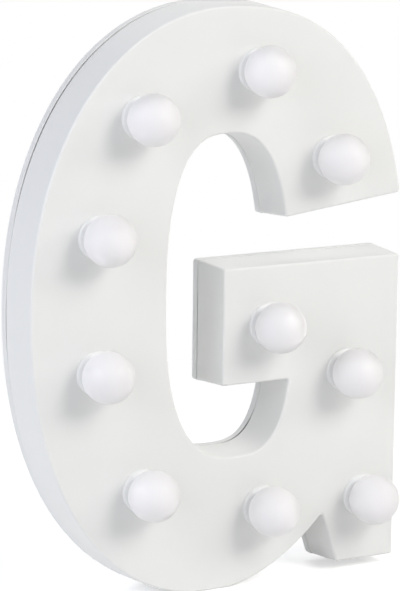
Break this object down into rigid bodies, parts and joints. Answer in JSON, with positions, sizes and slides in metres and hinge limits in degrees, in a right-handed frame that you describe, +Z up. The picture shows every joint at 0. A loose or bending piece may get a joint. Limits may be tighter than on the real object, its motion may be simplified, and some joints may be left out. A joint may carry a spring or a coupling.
{
  "type": "light-up letter",
  "caption": "Battery-powered standing or wall-hung letter light in the shape of a capital G, a white moulded shell with opal globe lamps along its face.",
  "frame": {"origin": "under the middle of the whole lamp, on the surface that the letter stands on", "axes": "+Z up, -Y the way the lit face looks, +X to the right as seen from the front"},
  "size_m": [0.1606, 0.0404, 0.221],
  "materials": {
    "shell_white": "satin moulded",
    "cover_white": "satin moulded",
    "socket_white": "satin moulded",
    "globe_opal": "semi-gloss opal",
    "led_epoxy": "clear moulded",
    "board_white": "solder mask",
    "screw_steel": "zinc plated",
    "ring_steel": "bright stamped",
    "spring_steel": "nickel plated",
    "contact_nickel": "nickel plated",
    "switch_tin": "tin plated",
    "cell_jacket": "printed jacket",
    "knob_black": "satin moulded",
    "resistor_lacquer": "lacquered",
    "wire_red": "extruded sleeve",
    "wire_black": "extruded sleeve"
  },
  "bodies": {
    "letter": {"front_shell": "shell_white", "back_cover": "cover_white", "cover_screws": "screw_steel", "battery_1": "cell_jacket", "battery_2": "cell_jacket", "contact_positive": "contact_nickel", "contact_negative": "contact_nickel", "contact_bridge": "contact_nickel", "contact_spring_1": "spring_steel", "contact_spring_2": "spring_steel", "switch_can": "switch_tin", "resistor": "resistor_lacquer", "lead_positive": "wire_red", "lead_switch": "wire_red", "bus_positive": "wire_red", "lead_negative": "wire_black", "bus_negative": "wire_black", "socket_rings": "ring_steel", "globe_1": "globe_opal", "globe_2": "globe_opal", "globe_3": "globe_opal", "globe_4": "globe_opal", "globe_5": "globe_opal", "globe_6": "globe_opal", "globe_7": "globe_opal", "globe_8": "globe_opal", "globe_9": "globe_opal", "globe_10": "globe_opal", "socket_1": "socket_white", "socket_2": "socket_white", "socket_3": "socket_white", "socket_4": "socket_white", "socket_5": "socket_white", "socket_6": "socket_white", "socket_7": "socket_white", "socket_8": "socket_white", "socket_9": "socket_white", "socket_10": "socket_white", "led_1": "led_epoxy", "led_2": "led_epoxy", "led_3": "led_epoxy", "led_4": "led_epoxy", "led_5": "led_epoxy", "led_6": "led_epoxy", "led_7": "led_epoxy", "led_8": "led_epoxy", "led_9": "led_epoxy", "led_10": "led_epoxy", "led_board_1": "board_white", "led_board_2": "board_white", "led_board_3": "board_white", "led_board_4": "board_white", "led_board_5": "board_white", "led_board_6": "board_white", "led_board_7": "board_white", "led_board_8": "board_white", "led_board_9": "board_white", "led_board_10": "board_white"},
    "door": {"battery_door": "cover_white"},
    "knob": {"switch_knob": "knob_black"}
  },
  "joints": [
    {"name": "door_hinge", "type": "hinge", "parent": "letter", "child": "door", "pos_m": [0.0555, 0.01845, 0.0875], "axis": [1, 0, 0], "range_deg": [0, 95]},
    {"name": "switch_slide", "type": "slide", "parent": "letter", "child": "knob", "axis": [1, 0, 0], "range_m": [0, 0.003]}
  ]
}
